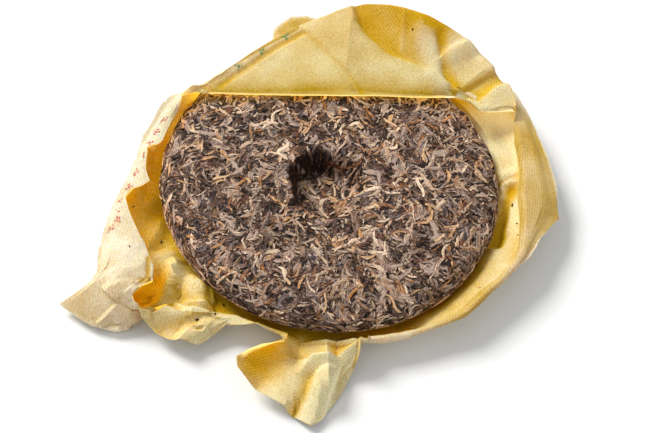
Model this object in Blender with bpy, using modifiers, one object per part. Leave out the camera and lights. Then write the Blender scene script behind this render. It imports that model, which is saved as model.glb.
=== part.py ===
"""A pressed round of dark tea standing on the square sheet of paper it came wrapped in.

The round is turned from a section with a rim, a crown and a hollow in its top, and strips of
leaf are fused over its top and side. The paper runs out flat under the round, turns up about it
and is folded over itself behind, at the left and at the right, with a loose flap at the front.
Sizes are real ones; metres, +Z up, the front toward -Y, the round's axis at x = y = 0.
"""
import math
import random

import bmesh
import bpy
from mathutils import Vector, noise

MM = 0.001

CAKE_RADIUS = 100.0
CAKE_UNDERSIDE = 0.9
CAKE_TURNS = 56
CAKE_LEVEL = 15.2
TOP_FROM = 20.0
SIDE_LUMP_PITCH = 11.0
SIDE_LUMP = 0.7
TOP_LUMP_PITCH = 17.0
TOP_LUMP = 0.5
HOLLOW_AT = (1.0, -7.0)
HOLLOW_RADIUS = 25.0
HOLLOW_DEPTH = 14.0
HOLLOW_STEEP = 8.0
HOLLOW_GENTLE = 24.0
STEEP_SIDE = math.radians(170)

LEAVES_ON_TOP = 112
LEAVES_ON_SIDE = 40
LEAF_CUTS = 2
LEAF_TAPER = 0.35
LEAF_DROOP = 0.35
TOP_LEAF_REACH = 92.0
TOP_LEAF_LENGTHS = (9.0, 15.0)
TOP_LEAF_WIDTHS = (1.8, 2.8)
TOP_LEAF_THICKNESS = 1.6
TOP_LEAF_RISE = 0.3
TOP_LEAF_BEND = 1.4
TOP_LEAF_CLEAR = 4.0
TOP_SLOPE_FROM = 75.0
GOLDEN_ANGLE = math.pi * (3.0 - math.sqrt(5.0))
SIDE_LEAF_RADIUS = 98.9
SIDE_LEAF_LENGTHS = (8.0, 12.0)
SIDE_LEAF_WIDTHS = (1.8, 2.4)
SIDE_LEAF_THICKNESS = 2.0
SIDE_LEAF_LEAN = 0.3
SIDE_LEAF_SCATTER = 1.5
SIDE_LEAF_BEND = 0.8

SHEET_THICKNESS = 0.6
SHEET_MIDDLE_RADIUS = 44.0
SHEET_FLAT_RADIUS = 84.0
FOLD_ROLL = 0.9
SHOULDER_RADIUS = 94.5
SHOULDER_HEIGHT = 26.6
FAR_FOLD_OFFSET = 55.1
FAR_FOLD_BEARING = 99.2
FAR_FOLD_HEIGHT = 29.8
FAR_FOLD_FROM = 44.5
FAR_FOLD_TO = 152.0
STATION_MIN = 1.4
STATION_MAX = 6.0
ROLL_SHARE = 0.3
MERGE = 0.00005

# Section of the round from the crown of its top to the middle of its underside, radius and
# height in mm.
CAKE_SECTION = (
    (0.0, 26.4), (7.0, 26.4), (13.0, 26.4), (18.5, 26.4), (23.0, 26.4), (28.0, 26.4),
    (33.5, 26.4), (45.0, 26.3), (64.0, 26.1), (79.0, 25.5), (88.0, 24.2), (94.5, 21.9), (98.6, 18.6),
    (100.0, 15.2), (98.6, 11.9), (94.5, 8.0), (87.5, 4.8), (77.0, 2.1), (62.0, 0.9), (0.0, 0.9),
)

# Lines the sheet bends on, each all the way round the cake: bearing in degrees from +X, radius
# and height in mm, and where a fourth value stands, degrees by which the corner leans aside.
FOOT = ((-180, 94, 1.5), (180, 94, 1.5))
WALL = (
    (-180, 106, 4), (-160, 112, 3), (-146, 124, 3), (-138, 128, 3), (-131, 108, 3.5),
    (-118, 102, 4), (-108, 99.5, 6), (-100, 99.5, 4), (-86, 100, 2.5), (-76, 101.5, 5),
    (-62, 101.5, 6.5), (-50, 102.5, 9), (-43, 103, 10.5), (-33, 103.5, 12), (-20, 104, 12),
    (0, 105, 13), (20, 104.5, 15), (40, 104, 15), (60, 104.5, 13), (90, 106, 8), (125, 104, 7),
    (150, 104, 8), (180, 106, 4),
)
CREST = (
    (-180, 115.5, 12), (-174, 119, 11), (-170, 123, 10), (-161, 132, 9), (-152, 140, 8),
    (-147, 147, 7.5), (-145.3, 152, 7), (-144, 173, 6), (-140, 167, 5), (-136, 159, 4),
    (-133, 147, 4), (-130, 117, 5), (-124, 111, 9), (-118, 105, 7), (-113, 102.5, 10),
    (-106, 101.5, 9), (-102, 101.5, 9, 5), (-98, 101.5, 7, 1), (-92, 103, 3), (-87, 103, 6),
    (-84, 104, 9), (-81, 104, 6), (-76, 106, 12), (-72, 107, 12), (-62, 109, 13), (-50, 113, 15),
    (-43, 117, 18), (-33, 117, 19), (-19, 121, 20), (-9, 127, 20), (-4, 133, 18), (-1, 137, 15),
    (4, 134, 17), (10, 132, 19), (20, 131, 20), (30, 132, 20), (38, 133, 21), (46, 126, 23),
    (60, 118, 23), (75, 114, 23), (90, 112, 23), (99, 120, 21), (104, 126, 20), (108.5, 126, 20),
    (112, 121, 20), (114.4, 117, 19.5), (116, 108, 19), (118, 106, 18), (130, 104, 16),
    (142, 104, 16), (150, 105, 16), (156, 110.5, 17), (162, 111, 16), (168, 111, 15),
    (174, 113, 13), (180, 115.5, 12),
)
FOLD = (
    (-180, 112, 17), (-168, 116, 16), (-161, 128, 15), (-152, 133, 16), (-146, 142, 17),
    (-143, 153, 18), (-138, 148, 16), (-134, 143, 13), (-130, 124, 9), (-124, 118, 14),
    (-118, 108, 12), (-113, 104, 13), (-106, 103, 12), (-102, 106, 13, 5.2), (-98, 110, 10, -2),
    (-92, 114, 3), (-87, 114, 8), (-84, 114, 14), (-81, 112, 8), (-76, 108, 16), (-74, 107.5, 16.5),
    (-72, 107.5, 16), (-62, 108.5, 16.2), (-50, 112, 18.2), (-43, 115, 20.5), (-33, 115, 21.5),
    (-19, 119.5, 23), (-9, 122, 23), (1, 126, 22), (10, 124, 24), (22, 124, 25), (28.4, 127, 25),
    (30, 125.5, 26.2), (31.6, 122, 27.6), (33.4, 106, 29.6), (35, 101, 30.4), (40, 99.5, 30.3),
    (44.5, 95.4, 29.8), (152, 91.1, 29.8), (153.5, 98, 27.5), (157, 105, 23.5), (166, 107, 20),
    (180, 112, 17),
)
FLAP = (
    (-180, 110.5, 20), (-174, 110.5, 20), (-168.5, 109.5, 20.8), (-166, 119, 20.3), (-163, 122.5, 20),
    (-152, 122, 21), (-145, 131, 21), (-141, 141, 22), (-136, 142, 19), (-134, 142, 15),
    (-131.5, 134, 14), (-130, 131, 13), (-124, 127, 7), (-118, 114, 14), (-113, 105.5, 15),
    (-106, 104.5, 14), (-102, 109, 17, 5.7), (-98, 122, 16, -6.5), (-94, 128, 7, -3.5),
    (-90.5, 132, 2.5, -0.8), (-87, 133, 9), (-84, 131, 15), (-81, 122, 5), (-76, 112, 14),
    (-74, 109, 19), (-72, 105.8, 16.8), (-62, 106, 13.8), (-50, 109.5, 16), (-43, 112.5, 18.6),
    (-33, 112.5, 19.8), (-19, 118, 21.5), (-14, 118.5, 23), (3, 113, 25), (22, 117, 25),
    (28.4, 121.5, 26), (30, 121.5, 28.4), (31.6, 120.5, 31), (33.4, 112, 32.6), (35, 112, 33),
    (40, 107, 33.4), (44.5, 98, 31.8), (47, 94, 32.4), (50, 91.6, 33), (56, 90.4, 34), (62, 90.5, 34.6),
    (68, 92, 35.4), (75, 95.5, 36.8), (82, 100.5, 39), (88, 106, 42), (90.8, 109, 44),
    (92.4, 106, 42.5), (99, 92, 37.8), (110, 88, 34.4), (130, 84, 32), (150, 93, 31.3),
    (153.5, 99, 29.5), (157, 103.5, 26), (168, 104.5, 21.3), (176, 105.5, 20.6), (180, 110.5, 20),
)
EDGE = (
    (-180, 108.5, 21), (-173, 108, 21), (-168.5, 105.5, 21.5), (-167, 110, 21.5), (-166, 117, 21),
    (-164, 120.3, 21), (-160, 119.8, 21.5), (-153.9, 118.4, 22), (-146.8, 117.5, 22.5),
    (-139.5, 119.5, 22), (-136, 125, 22), (-134.5, 138, 21), (-132.5, 140, 19.5), (-131, 141, 14),
    (-126, 140, 9), (-121, 136, 14), (-117, 130, 8), (-114, 113, 13), (-106, 105, 16.5),
    (-103, 107, 18, 4), (-101.6, 112.7, 20, 5), (-100.5, 118.5, 20, -1.2), (-99, 131, 20, -7.4),
    (-97, 135.6, 19, -8), (-93.5, 141, 10, -6.3), (-90.5, 147, 2, -1.1), (-87, 152, 1.5),
    (-84, 146, 2), (-80, 132, 2), (-77, 120, 5), (-75.4, 116, 14), (-74, 109.5, 22),
    (-72.6, 105.5, 19.5), (-71, 104, 13.5), (-62, 104.5, 11.6), (-50, 107.5, 13.4),
    (-43, 110.5, 16.4), (-33, 110.5, 17.6), (-19, 117, 19.6), (-14, 116, 21), (3, 110, 21.5),
    (22, 115.5, 22), (28.4, 119, 25.5), (30, 120.5, 29.5), (31.6, 122.5, 33.5), (33.4, 125, 33.5),
    (38, 127, 33.5), (43, 127.5, 32), (51, 128, 33), (56, 127, 38), (68, 122, 46), (80, 118, 48),
    (87, 116, 47), (90.8, 113.2, 45.8), (92.4, 112.3, 44.3), (99, 107.4, 41), (105, 104.8, 38.2),
    (111, 102.2, 36), (117, 99, 34.5), (125, 95, 34.5), (135, 92, 34), (143, 92, 33),
    (151, 95, 31.4), (153.5, 100, 32), (157, 102.5, 29), (159, 101.5, 26.5), (162, 101.5, 22.5),
    (168, 101.5, 21.5), (175, 101.8, 21), (176.8, 103.5, 21), (178.4, 109.2, 21), (180, 108.5, 21),
)


def clear_scene():
    """Remove everything the file starts with."""
    for thing in list(bpy.data.objects):
        bpy.data.objects.remove(thing, do_unlink=True)


def make_material(name, colour, roughness):
    """A Principled material of one colour."""
    material = bpy.data.materials.new(name)
    material.use_nodes = True
    shader = material.node_tree.nodes["Principled BSDF"]
    shader.inputs["Base Color"].default_value = (*colour, 1.0)
    shader.inputs["Roughness"].default_value = roughness
    material.diffuse_color = (*colour, 1.0)
    return material


def add_mesh(name, bm, collection):
    """Put a bmesh into a collection as a named object."""
    mesh = bpy.data.meshes.new(name)
    bm.normal_update()
    bm.to_mesh(mesh)
    bm.free()
    thing = bpy.data.objects.new(name, mesh)
    collection.objects.link(thing)
    return thing


def apply_modifier(thing, name):
    """Apply a modifier to an object."""
    for other in bpy.context.selected_objects:
        other.select_set(False)
    bpy.context.view_layer.objects.active = thing
    thing.select_set(True)
    bpy.ops.object.modifier_apply(modifier=name)


def shade(thing, degrees):
    """Smooth shading, with the edges above an angle kept sharp."""
    for face in thing.data.polygons:
        face.use_smooth = True
    thing.data.set_sharp_from_angle(angle=math.radians(degrees))


def value_at(line, bearing):
    """Radius, height and lean of a line of corners at a bearing."""
    for low, high in zip(line, line[1:]):
        if low[0] <= bearing <= high[0]:
            share = (bearing - low[0]) / (high[0] - low[0])
            first = (*low[1:], 0.0)[:3]
            second = (*high[1:], 0.0)[:3]
            return tuple(a + (b - a) * share for a, b in zip(first, second))
    return (*line[-1][1:], 0.0)[:3]


def corner(line, bearing):
    """Place in mm of a line of corners at a bearing."""
    radius, height, lean = value_at(line, bearing)
    if line is FOLD and FAR_FOLD_FROM < bearing < FAR_FOLD_TO:
        radius = FAR_FOLD_OFFSET / math.cos(math.radians(bearing - FAR_FOLD_BEARING))
        height = FAR_FOLD_HEIGHT
    angle = math.radians(bearing + lean)
    return Vector((radius * math.cos(angle), radius * math.sin(angle), height))


def shoulder(crest, fold):
    """Where the sheet passes over the rim of the cake, or half way to the fold."""
    if fold.xy.length > SHOULDER_RADIUS - 1.0:
        return (crest + fold) / 2
    share = (crest.xy.length - SHOULDER_RADIUS) / (crest.xy.length - fold.xy.length)
    spot = crest.lerp(fold, share)
    spot.z = max(spot.z, SHOULDER_HEIGHT)
    return spot


def section(bearing):
    """Points of the sheet from under the cake out to its free edge, each fold rounded."""
    angle = math.radians(bearing)
    out = Vector((math.cos(angle), math.sin(angle), 0.0))
    bottom = SHEET_THICKNESS / 2
    points = [out * reach + Vector((0, 0, bottom)) for reach in (SHEET_MIDDLE_RADIUS, SHEET_FLAT_RADIUS)]
    points.append(corner(FOOT, bearing))
    points.append(corner(WALL, bearing))
    bends = [corner(line, bearing) for line in (WALL, CREST, FOLD, FLAP, EDGE)]
    bends.insert(2, shoulder(bends[1], bends[2]))
    for number in range(1, 5):
        before, here, after = bends[number - 1:number + 2]
        if number == 2:
            points.append(here)
            continue
        room = min((before - here).length, (after - here).length)
        spread = (before - here).normalized() - (after - here).normalized()
        step = spread.normalized() * min(FOLD_ROLL, ROLL_SHARE * room)
        points.append(here + step)
        points.append(here - step)
    points.append(bends[-1])
    return points


def stations():
    """Bearings of the sections: every corner of the lines, thinned and then filled in."""
    marks = sorted({spot[0] for line in (CREST, FOLD, FLAP, EDGE) for spot in line})
    kept = [-180.0]
    for mark in marks:
        if mark - kept[-1] >= STATION_MIN and mark < 180.0 - STATION_MIN:
            kept.append(float(mark))
    full = []
    for here, after in zip(kept, kept[1:] + [180.0]):
        pieces = max(1, math.ceil((after - here) / STATION_MAX))
        full += [here + (after - here) * step / pieces for step in range(pieces)]
    return full


def build_wrapper(collection):
    """The sheet as one closed shell of even thickness."""
    bm = bmesh.new()
    rings = [[bm.verts.new(spot * MM) for spot in section(bearing)] for bearing in stations()]
    middle = bm.verts.new((0, 0, SHEET_THICKNESS / 2 * MM))
    for here, after in zip(rings, rings[1:] + rings[:1]):
        bm.faces.new((middle, here[0], after[0]))
        for step in range(len(here) - 1):
            bm.faces.new((here[step], here[step + 1], after[step + 1], after[step]))
    sheet = add_mesh("paper_wrapper", bm, collection)
    shell = sheet.modifiers.new("thickness", "SOLIDIFY")
    shell.thickness = SHEET_THICKNESS * MM
    shell.offset = 0.0
    shell.use_even_offset = False
    apply_modifier(sheet, "thickness")
    shade(sheet, 25)
    sheet.data.materials.append(make_material("yellow_paper", (0.66, 0.52, 0.27), 0.7))
    return sheet


def hollow_drop(x, y):
    """How far the top is pressed in at a place: steep at the back left, gentle at the right."""
    off_x, off_y = x - HOLLOW_AT[0], y - HOLLOW_AT[1]
    side = 0.5 + 0.5 * math.cos(math.atan2(off_y, off_x) - STEEP_SIDE)
    width = HOLLOW_GENTLE + (HOLLOW_STEEP - HOLLOW_GENTLE) * side
    share = min(1.0, max(0.0, (HOLLOW_RADIUS - math.hypot(off_x, off_y)) / width))
    return HOLLOW_DEPTH * share * share * (3.0 - 2.0 * share)


def top_height(radius):
    """Height of the top face at a radius."""
    line = [spot for spot in CAKE_SECTION if spot[1] >= CAKE_LEVEL]
    for low, high in zip(line, line[1:]):
        if low[0] <= radius <= high[0]:
            return low[1] + (high[1] - low[1]) * (radius - low[0]) / (high[0] - low[0])
    return line[-1][1]


def build_core(collection):
    """The round without its leaves: a turned section, made uneven, with its hollow."""
    bm = bmesh.new()
    spots = [bm.verts.new((radius * MM, 0, height * MM)) for radius, height in CAKE_SECTION]
    for upper, lower in zip(spots, spots[1:]):
        bm.edges.new((upper, lower))
    core = add_mesh("tea_cake", bm, collection)
    turn = core.modifiers.new("turn", "SCREW")
    turn.steps = CAKE_TURNS
    turn.render_steps = CAKE_TURNS
    turn.use_merge_vertices = True
    turn.merge_threshold = MERGE
    turn.use_normal_calculate = True
    apply_modifier(core, "turn")
    bm = bmesh.new()
    bm.from_mesh(core.data)
    bmesh.ops.remove_doubles(bm, verts=bm.verts, dist=MERGE)
    bmesh.ops.recalc_face_normals(bm, faces=bm.faces)
    for spot in bm.verts:
        place = spot.co / MM
        if place.z > CAKE_UNDERSIDE + 0.5:
            rough = noise.noise(place / SIDE_LUMP_PITCH) * SIDE_LUMP
            flat = Vector((place.x, place.y, 0)).normalized()
            spot.co += flat * rough * MM * min(1.0, place.xy.length / CAKE_RADIUS)
        if place.z > TOP_FROM:
            lift = noise.noise(place / TOP_LUMP_PITCH) * TOP_LUMP
            spot.co.z += (lift - hollow_drop(place.x, place.y)) * MM
    bm.to_mesh(core.data)
    bm.free()
    return core


def build_leaf(name, place, along, up, size, bend, collection):
    """One strip of leaf: a box in four lengths, bent along itself."""
    bm = bmesh.new()
    bmesh.ops.create_cube(bm, size=1.0)
    lengthways = [edge for edge in bm.edges if abs(edge.verts[0].co.x - edge.verts[1].co.x) > 0.5]
    bmesh.ops.subdivide_edges(bm, edges=lengthways, cuts=LEAF_CUTS)
    across = up.cross(along).normalized()
    for spot in bm.verts:
        share = spot.co.x * 2.0
        taper = 1.0 - LEAF_TAPER * abs(share)
        local_x = spot.co.x * size[0]
        local_y = spot.co.y * size[1] * taper + bend * (share * share - 0.3)
        local_z = spot.co.z * size[2] - LEAF_DROOP * share * share
        spot.co = (place + along * local_x + across * local_y + up * local_z) * MM
    bmesh.ops.recalc_face_normals(bm, faces=bm.faces)
    return add_mesh(name, bm, collection)


def build_cake(collection, leaves):
    """The round with its leaves fused on, as one solid."""
    core = build_core(collection)
    chance = random.Random(11)
    for number in range(LEAVES_ON_TOP):
        reach = TOP_LEAF_REACH * math.sqrt((number + 0.5) / LEAVES_ON_TOP)
        angle = number * GOLDEN_ANGLE + chance.uniform(-0.25, 0.25)
        x, y = reach * math.cos(angle), reach * math.sin(angle)
        if math.hypot(x - HOLLOW_AT[0], y - HOLLOW_AT[1]) < HOLLOW_RADIUS + TOP_LEAF_CLEAR:
            continue
        slope = 0.0 if reach < TOP_SLOPE_FROM else (top_height(reach) - top_height(reach + 1.0))
        up = Vector((math.cos(angle) * slope, math.sin(angle) * slope, 1.0)).normalized()
        turn = chance.uniform(0.0, math.pi)
        along = Vector((math.cos(turn), math.sin(turn), 0.0))
        along = (along - up * along.dot(up)).normalized()
        size = (chance.uniform(*TOP_LEAF_LENGTHS), chance.uniform(*TOP_LEAF_WIDTHS), TOP_LEAF_THICKNESS)
        place = Vector((x, y, top_height(reach))) + up * TOP_LEAF_RISE
        bend = chance.uniform(-TOP_LEAF_BEND, TOP_LEAF_BEND)
        build_leaf("leaf_top_%d" % number, place, along, up, size, bend, leaves)
    for number in range(LEAVES_ON_SIDE):
        angle = 2.0 * math.pi * number / LEAVES_ON_SIDE + chance.uniform(-0.04, 0.04)
        up = Vector((math.cos(angle), math.sin(angle), 0.0))
        around = Vector((-math.sin(angle), math.cos(angle), 0.0))
        lean = chance.uniform(-SIDE_LEAF_LEAN, SIDE_LEAF_LEAN)
        along = (around + Vector((0, 0, lean))).normalized()
        size = (chance.uniform(*SIDE_LEAF_LENGTHS), chance.uniform(*SIDE_LEAF_WIDTHS), SIDE_LEAF_THICKNESS)
        height = CAKE_LEVEL + chance.uniform(-SIDE_LEAF_SCATTER, SIDE_LEAF_SCATTER)
        place = up * SIDE_LEAF_RADIUS + Vector((0, 0, height))
        bend = chance.uniform(-SIDE_LEAF_BEND, SIDE_LEAF_BEND)
        build_leaf("leaf_side_%d" % number, place, along, up, size, bend, leaves)
    fuse = core.modifiers.new("fuse", "BOOLEAN")
    fuse.operation = "UNION"
    fuse.operand_type = "COLLECTION"
    fuse.collection = leaves
    fuse.solver = "EXACT"
    apply_modifier(core, "fuse")
    for leaf in list(leaves.objects):
        bpy.data.objects.remove(leaf, do_unlink=True)
    shade(core, 35)
    core.data.materials.clear()
    core.data.materials.append(make_material("pressed_leaf", (0.10, 0.07, 0.05), 0.75))
    return core


clear_scene()
part = bpy.data.collections.new("tea_cake_in_wrapper")
bpy.context.scene.collection.children.link(part)
loose_leaves = bpy.data.collections.new("loose_leaves")
bpy.context.scene.collection.children.link(loose_leaves)
build_cake(part, loose_leaves)
build_wrapper(part)
bpy.data.collections.remove(loose_leaves)
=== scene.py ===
import math

import bmesh
import bpy
import numpy as np
from mathutils import Matrix, Vector, geometry
from mathutils.bvhtree import BVHTree


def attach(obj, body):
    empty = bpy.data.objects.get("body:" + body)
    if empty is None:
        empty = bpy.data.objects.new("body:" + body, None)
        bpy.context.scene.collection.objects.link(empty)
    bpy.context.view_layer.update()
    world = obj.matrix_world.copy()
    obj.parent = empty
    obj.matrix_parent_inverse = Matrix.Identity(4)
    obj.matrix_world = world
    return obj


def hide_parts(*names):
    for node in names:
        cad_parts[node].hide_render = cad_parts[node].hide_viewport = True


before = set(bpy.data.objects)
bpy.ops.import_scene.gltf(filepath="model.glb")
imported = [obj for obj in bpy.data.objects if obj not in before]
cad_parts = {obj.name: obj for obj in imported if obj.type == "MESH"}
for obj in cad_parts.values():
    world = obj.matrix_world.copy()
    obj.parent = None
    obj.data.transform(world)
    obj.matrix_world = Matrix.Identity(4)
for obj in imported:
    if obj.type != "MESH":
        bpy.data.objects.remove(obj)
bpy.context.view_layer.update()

# The view: a portrait lens looking down on the front of the cake, rolled a little so that the
# table seems to fall to the right. Lengths here and below are in mm from the cake's axis.
MM = 0.001
LENS = 85.0
CAMERA_AIM = Vector((-0.21, -22.87, 14.0))
CAMERA_DISTANCE = 893.8
CAMERA_ELEVATION = 55.81
CAMERA_ROLL = 8.19

tilt = math.radians(CAMERA_ELEVATION)
roll = math.radians(CAMERA_ROLL)
back = Vector((0.0, -math.cos(tilt), math.sin(tilt)))
level = Vector((1.0, 0.0, 0.0))
upright = back.cross(level)
right = level * math.cos(roll) + upright * math.sin(roll)
top = upright * math.cos(roll) - level * math.sin(roll)
camera = bpy.data.objects.new("camera", bpy.data.cameras.new("camera"))
camera.data.lens = LENS
camera.data.clip_start = 0.01
camera.matrix_world = Matrix.Translation((CAMERA_AIM + back * CAMERA_DISTANCE) * MM) @ Matrix(
    (right, top, back)).transposed().to_4x4()
bpy.context.scene.collection.objects.link(camera)
bpy.context.scene.camera = camera

# The light of a small white studio: one broad lamp high at the back left, and white walls that
# fill the shadows.
KEY_FROM = Vector((-0.62, 0.40, 0.68))
KEY_STRENGTH = 2.9
KEY_SPREAD = 24.0
WALL_STRENGTH = 0.55

key = bpy.data.objects.new("key_light", bpy.data.lights.new("key_light", "SUN"))
key.data.energy = KEY_STRENGTH
key.data.angle = math.radians(KEY_SPREAD)
key.data.color = (1.0, 0.985, 0.96)
key.rotation_mode = "QUATERNION"
key.rotation_quaternion = KEY_FROM.to_track_quat("Z", "Y")
bpy.context.scene.collection.objects.link(key)
walls = bpy.data.worlds.new("white_walls")
walls.use_nodes = True
walls.node_tree.nodes["Background"].inputs["Color"].default_value = (0.97, 0.985, 1.0, 1.0)
walls.node_tree.nodes["Background"].inputs["Strength"].default_value = WALL_STRENGTH
bpy.context.scene.world = walls
bpy.context.scene.view_settings.view_transform = "Standard"

# The table: a plain white top with a dull sheen, larger than the view. The paper lies loose on it
# and throws its shadow there.
TABLE_HALF = 3000.0


def new_material(name, roughness):
    """A Principled material, its nodes, its links and its shader."""
    material = bpy.data.materials.new(name)
    material.use_nodes = True
    nodes = material.node_tree.nodes
    shader = nodes["Principled BSDF"]
    shader.inputs["Roughness"].default_value = roughness
    return material, nodes, material.node_tree.links, shader


table_material, nodes, links, shader = new_material("white_table", 0.55)
shader.inputs["Base Color"].default_value = (0.93, 0.93, 0.93, 1.0)
bm = bmesh.new()
bmesh.ops.create_grid(bm, x_segments=4, y_segments=4, size=TABLE_HALF * MM)
mesh = bpy.data.meshes.new("table_top")
bm.to_mesh(mesh)
bm.free()
mesh.materials.append(table_material)
table = bpy.data.objects.new("table_top", mesh)
bpy.context.scene.collection.objects.link(table)

# The cake: dark tea leaf, steamed soft and pressed in a bag into a round with a full rim, a nearly
# flat top and the hollow that the bag's knot left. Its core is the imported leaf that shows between
# the strips of the surface.
# Its section, as radius and height from the middle of the top to the middle of the foot.
CAKE_SECTION = (
    (0.0, 26.4), (45.0, 26.3), (64.0, 26.1), (79.0, 25.5), (88.0, 24.2), (94.5, 21.9),
    (98.6, 18.6), (100.0, 15.2), (98.6, 11.9), (94.5, 8.0), (87.5, 4.8), (77.0, 2.1), (62.0, 0.9),
    (0.0, 0.9),
)
CAKE_FOOT = 1.2
# The lumps of the pressed surface: how many waves, how long, and how long for 1 of height.
LUMPS = 26
LUMP_LENGTHS = (6.0, 34.0)
LUMP_FLATNESS = 170.0
HOLLOW_AT = (1.0, -7.0)
HOLLOW_RADIUS = 25.0
HOLLOW_DEPTH = 16.0
# How wide the hollow's wall is where it is steepest and gentlest, which way the steep side lies,
# and how soon it gives way to the gentle one.
HOLLOW_STEEP = 6.0
HOLLOW_GENTLE = 22.0
STEEP_SIDE = math.radians(170)
STEEP_FADE = 0.9
# The hollow's rim wanders in and out: how far, how many times round, and from where.
RIM_WAVES = ((1.1, 3.0, 0.6), (0.8, 7.0, 0.0))
RIM_LIP = 1.0
# Slopes of the hollow that count as level and as steep, for its painted shade.
LEVEL_SLOPE = 0.7
STEEP_SLOPE = 2.5
# How far the surface faces up, from 1 on top to -1 below: where the hollow ends, and the lumps.
TOP_FACES = 0.9
SIDE_FACES = -0.3

# The corners of the section are cut three times over, which rounds them.
path_points = np.array(CAKE_SECTION)
for _ in range(3):
    quarter = path_points[:-1] * 0.75 + path_points[1:] * 0.25
    three = path_points[:-1] * 0.25 + path_points[1:] * 0.75
    cut = np.stack([quarter, three], axis=1).reshape(-1, 2)
    path_points = np.concatenate([path_points[:1], cut, path_points[-1:]])
path_along = np.concatenate([[0.0], np.cumsum(np.hypot(*np.diff(path_points, axis=0).T))])
path_slope = np.gradient(path_points, path_along, axis=0)
waves = np.random.default_rng(17)
wave_turn = waves.normal(size=(LUMPS, 3))
wave_turn /= np.linalg.norm(wave_turn, axis=1)[:, None]
wave_length = waves.uniform(*LUMP_LENGTHS, LUMPS)
wave_phase = waves.uniform(0.0, math.tau, LUMPS)


def unevenness(places):
    """Lumps and dips of the pressed surface, in mm along its normal."""
    phase = places @ (wave_turn / wave_length[:, None] * math.tau).T + wave_phase
    return (np.sin(phase) * wave_length / LUMP_FLATNESS).sum(axis=1)


def hollow_drop(x, y):
    """How far the knot pressed the top in."""
    reach = np.hypot(x - HOLLOW_AT[0], y - HOLLOW_AT[1])
    around = np.arctan2(y - HOLLOW_AT[1], x - HOLLOW_AT[0])
    side = (0.5 + 0.5 * np.cos(around - STEEP_SIDE)) ** STEEP_FADE
    width = HOLLOW_GENTLE + (HOLLOW_STEEP - HOLLOW_GENTLE) * side
    rim = HOLLOW_RADIUS
    for swing, times, start in RIM_WAVES:
        rim = rim + swing * np.sin(times * around + start)
    share = np.clip((rim + RIM_LIP - reach) / width, 0.0, 1.0)
    return HOLLOW_DEPTH * share * share * (3.0 - 2.0 * share)


def hollow_slope(x, y):
    """1 on the steepest wall of the hollow, 0 on level ground."""
    near = hollow_drop(x, y)
    steep = np.hypot(hollow_drop(x + 1.0, y) - near, hollow_drop(x, y + 1.0) - near)
    return np.clip((steep - LEVEL_SLOPE) / (STEEP_SLOPE - LEVEL_SLOPE), 0.0, 1.0)


def on_cake(x, y, rise):
    """Places on the cake from places on its surface laid out flat, raised off it by rise."""
    reach = np.hypot(x, y)
    radius = np.interp(reach, path_along, path_points[:, 0])
    height = np.interp(reach, path_along, path_points[:, 1])
    lean = np.interp(reach, path_along, -path_slope[:, 1])
    face = np.interp(reach, path_along, path_slope[:, 0])
    cosine, sine = x / np.maximum(reach, 1e-6), y / np.maximum(reach, 1e-6)
    places = np.stack([radius * cosine, radius * sine, height], axis=1)
    normal = np.stack([lean * cosine, lean * sine, face], axis=1)
    lift = np.where(face > SIDE_FACES, unevenness(places), 0.0) + rise
    places = places + normal * lift[:, None]
    drop_here = np.where(face > TOP_FACES, hollow_drop(places[:, 0], places[:, 1]), 0.0)
    places[:, 2] = np.maximum(places[:, 2] - drop_here, CAKE_FOOT)
    return places


# The core starts as a flat disc, turned from one spoke, and is then laid over the section, a
# little below the strips and rough all over.
CORE_RINGS = 100
CORE_STEPS = 220
CORE_GRAIN = 0.35
CORE_SINK = 0.5
CORE_SMOOTH_END = 1.0

bm = bmesh.new()
joints = [bm.verts.new((reach, 0.0, 0.0)) for reach in np.linspace(0.0, path_along[-1], CORE_RINGS)]
spoke = [bm.edges.new(pair) for pair in zip(joints, joints[1:])]
bmesh.ops.spin(bm, geom=joints + spoke, axis=(0, 0, 1), cent=(0, 0, 0), dvec=(0, 0, 0),
               angle=math.tau, steps=CORE_STEPS, use_merge=True, use_duplicate=False)
bmesh.ops.remove_doubles(bm, verts=bm.verts, dist=0.001)
flat = np.array([spot.co[:] for spot in bm.verts])
grain = np.random.default_rng(29).uniform(-CORE_GRAIN, CORE_GRAIN, len(flat))
is_rough = np.hypot(flat[:, 0], flat[:, 1]) < path_along[-1] - CORE_SMOOTH_END
flat[:, 2] = np.where(is_rough, grain, 0.0)
for spot, place in zip(bm.verts, on_cake(flat[:, 0], flat[:, 1], flat[:, 2] - CORE_SINK)):
    spot.co = place
bmesh.ops.recalc_face_normals(bm, faces=bm.faces)


def math_node(nodes, links, operation, *values):
    """A Math node, each input a number or a socket."""
    node = nodes.new("ShaderNodeMath")
    node.operation = operation
    for socket, value in zip(node.inputs, values):
        if isinstance(value, (int, float)):
            socket.default_value = value
        else:
            links.new(value, socket)
    return node.outputs["Value"]


def weighed(nodes, links, level, *parts):
    """A starting level plus each value times its weight."""
    for value, weight in parts:
        level = math_node(nodes, links, "MULTIPLY_ADD", value, weight, level)
    return level


def mapping_node(nodes, links, place, scale):
    """A place with each of its axes scaled."""
    node = nodes.new("ShaderNodeMapping")
    node.inputs["Scale"].default_value = scale
    links.new(place, node.inputs["Vector"])
    return node.outputs["Vector"]


def attribute_node(nodes, name):
    """A value that the piece holds at each spot."""
    node = nodes.new("ShaderNodeAttribute")
    node.attribute_name = name
    return node.outputs["Fac"]


def cell_node(nodes, links, place, scale):
    """Cells about scattered spots: how far off the spot is, and three chances of its own."""
    node = nodes.new("ShaderNodeTexVoronoi")
    node.inputs["Scale"].default_value = scale
    links.new(place, node.inputs["Vector"])
    chances = nodes.new("ShaderNodeSeparateColor")
    links.new(node.outputs["Color"], chances.inputs["Color"])
    return node.outputs["Distance"], chances.outputs


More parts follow.
